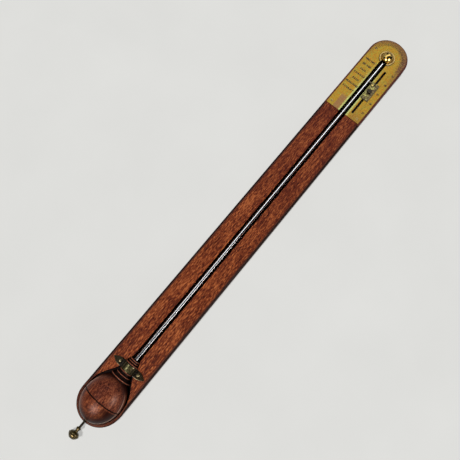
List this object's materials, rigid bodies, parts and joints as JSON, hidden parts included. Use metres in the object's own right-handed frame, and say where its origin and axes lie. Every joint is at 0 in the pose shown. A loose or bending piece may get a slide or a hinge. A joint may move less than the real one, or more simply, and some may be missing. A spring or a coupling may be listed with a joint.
{
  "type": "stick barometer",
  "caption": "Mercury stick barometer: long round-ended wooden board, arched brass register plate with sliding vernier, glass tube, pear-shaped turned cistern and portable screw.",
  "frame": {"origin": "middle of the hanging hole, on the back face of the board", "axes": "X across the board, to the right as one faces it; +Y up the instrument, to its arched top; +Z out of the board's face. The instrument lies on its back, as in the picture."},
  "size_m": [0.082, 0.9452, 0.0575],
  "materials": {
    "board_mahogany": "varnished, worn, lengthwise grain",
    "cover_mahogany": "turned and varnished, darker shoulder",
    "bowl_mahogany": "turned and varnished, lighter bowl",
    "register_brass": "lacquered and engraved, tarnished in patches",
    "vernier_brass": "satin, lightly tarnished",
    "cap_brass": "polished, with dark tarnish in the hollows",
    "strap_brass": "dark olive tarnish, bright on the edges",
    "dark_brass": "dark bronze tarnish",
    "screw_brass": "dull, slotted heads",
    "tube_glass": "clear, smooth",
    "mercury": "liquid mirror",
    "boxwood": "turned, waxed",
    "cork": "raw cork",
    "bag_leather": "thin sheepskin, matt",
    "binding_cord": "waxed thread"
  },
  "bodies": {
    "board": {"backboard": "board_mahogany", "register_plate": "register_brass", "plate_screws": "screw_brass", "glass_tube": "tube_glass", "mercury_column": "mercury", "cap_flange": "cap_brass", "tube_cap": "cap_brass", "cistern_cover": "cover_mahogany", "cistern_bowl": "bowl_mahogany", "neck_cork": "cork", "neck_strap": "strap_brass", "strap_screws": "screw_brass", "cistern_body": "boxwood", "cistern_lid": "boxwood", "cistern_mercury": "mercury", "leather_bag": "bag_leather", "bag_binding": "binding_cord", "screw_bush": "cap_brass", "hanger_plate": "vernier_brass", "hanger_screws": "screw_brass"},
    "vernier": {"vernier_slide": "vernier_brass", "vernier_pointer": "vernier_brass", "pointer_screw": "screw_brass", "vernier_runner": "vernier_brass", "runner_spring": "vernier_brass"},
    "clamp": {"vernier_knob": "dark_brass", "clamp_screw": "screw_brass"},
    "pad": {"thrust_pad": "boxwood"},
    "screw": {"portable_screw": "dark_brass", "screw_knob": "dark_brass"}
  },
  "joints": [
    {"name": "vernier_slide_travel", "type": "slide", "parent": "board", "child": "vernier", "axis": [0, 1, 0], "range_m": [-0.0395, 0.041]},
    {"name": "clamp_turn", "type": "hinge", "parent": "vernier", "child": "clamp", "pos_m": [0.0152, -0.0935, 0.026], "axis": [0, 0, 1], "range_deg": [-30, 330]},
    {"name": "pad_travel", "type": "slide", "parent": "board", "child": "pad", "axis": [0, 1, 0], "range_m": [-0.006, 0.0095], "deforming": ["leather_bag", "cistern_mercury"]},
    {"name": "screw_turn", "type": "hinge", "parent": "pad", "child": "screw", "pos_m": [0, -0.88, 0.022], "axis": [0, 1, 0], "range_deg": [-1440, 2280]}
  ],
  "couplings": [
    {"joint": "pad_travel", "follows": "screw_turn", "m_per_rad": 0.00023873}
  ]
}
